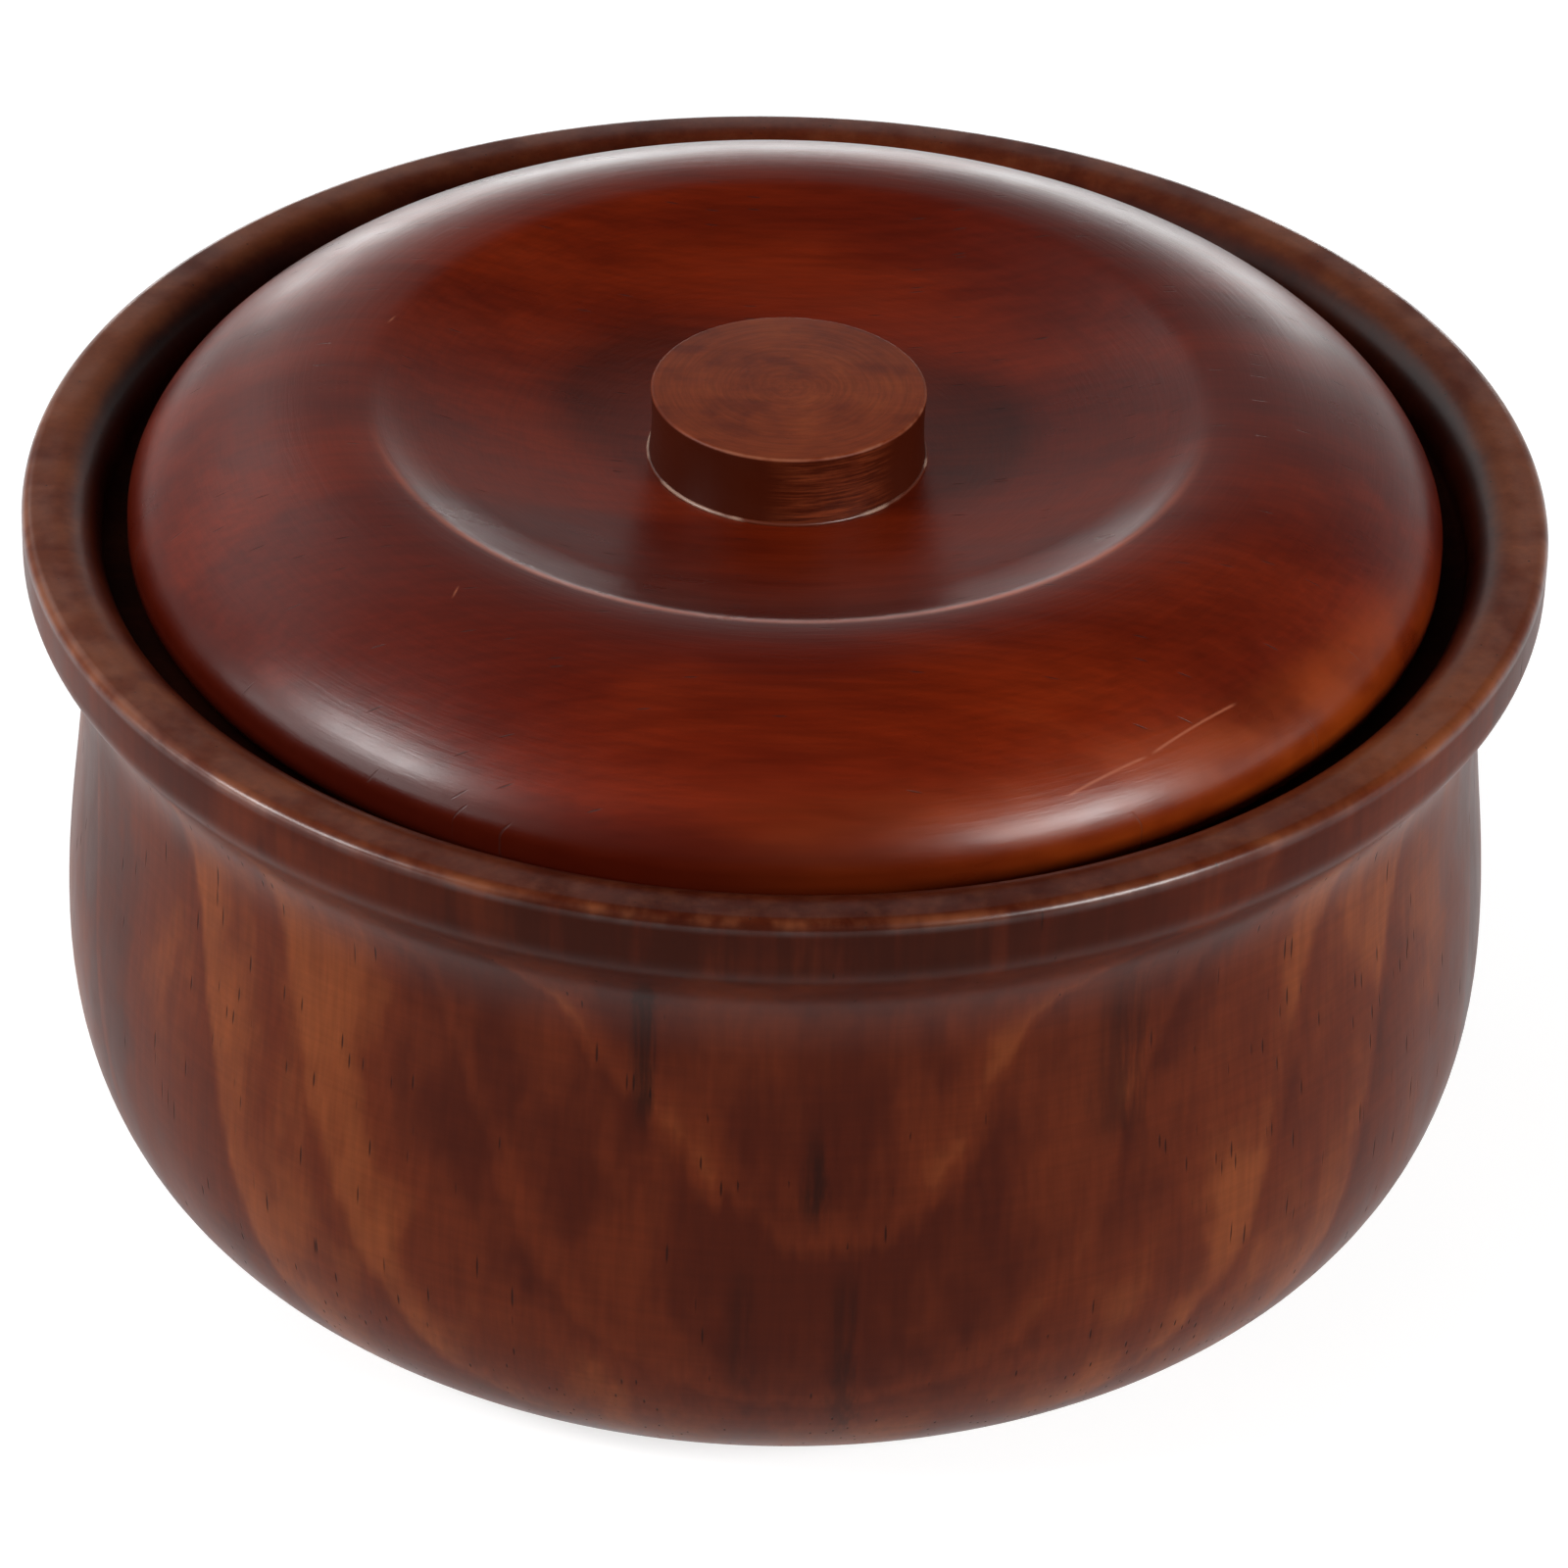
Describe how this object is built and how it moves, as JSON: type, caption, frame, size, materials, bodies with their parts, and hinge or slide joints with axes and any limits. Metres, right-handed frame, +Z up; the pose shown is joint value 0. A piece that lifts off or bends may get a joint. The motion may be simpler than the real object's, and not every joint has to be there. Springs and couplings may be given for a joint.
{
  "type": "lidded wooden bowl",
  "caption": "Round turned wooden bowl with a flared lip and full belly, and a drop-in lid with a dished top and a short round knob; the lid lifts off.",
  "frame": {"origin": "middle of the bowl's base, on the surface it stands on", "axes": "+Z up along the turning axis, and along the way the lid lifts; X and Y are any two directions across, because every piece is turned"},
  "size_m": [0.1794, 0.1794, 0.1033],
  "materials": {
    "bowl_wood": "brown stained, satin lacquer, grain upright",
    "lid_wood": "red-brown stained, satin lacquer, grain across",
    "knob_wood": "brown stained, matt, turning marks",
    "dowel_wood": "bare"
  },
  "bodies": {
    "bowl": {"bowl": "bowl_wood"},
    "lid": {"lid": "lid_wood", "knob": "knob_wood", "knob_dowel": "dowel_wood"}
  },
  "joints": [
    {"name": "lid_lift", "type": "slide", "parent": "bowl", "child": "lid", "axis": [0, 0, 1], "range_m": [0, 0.12]}
  ]
}
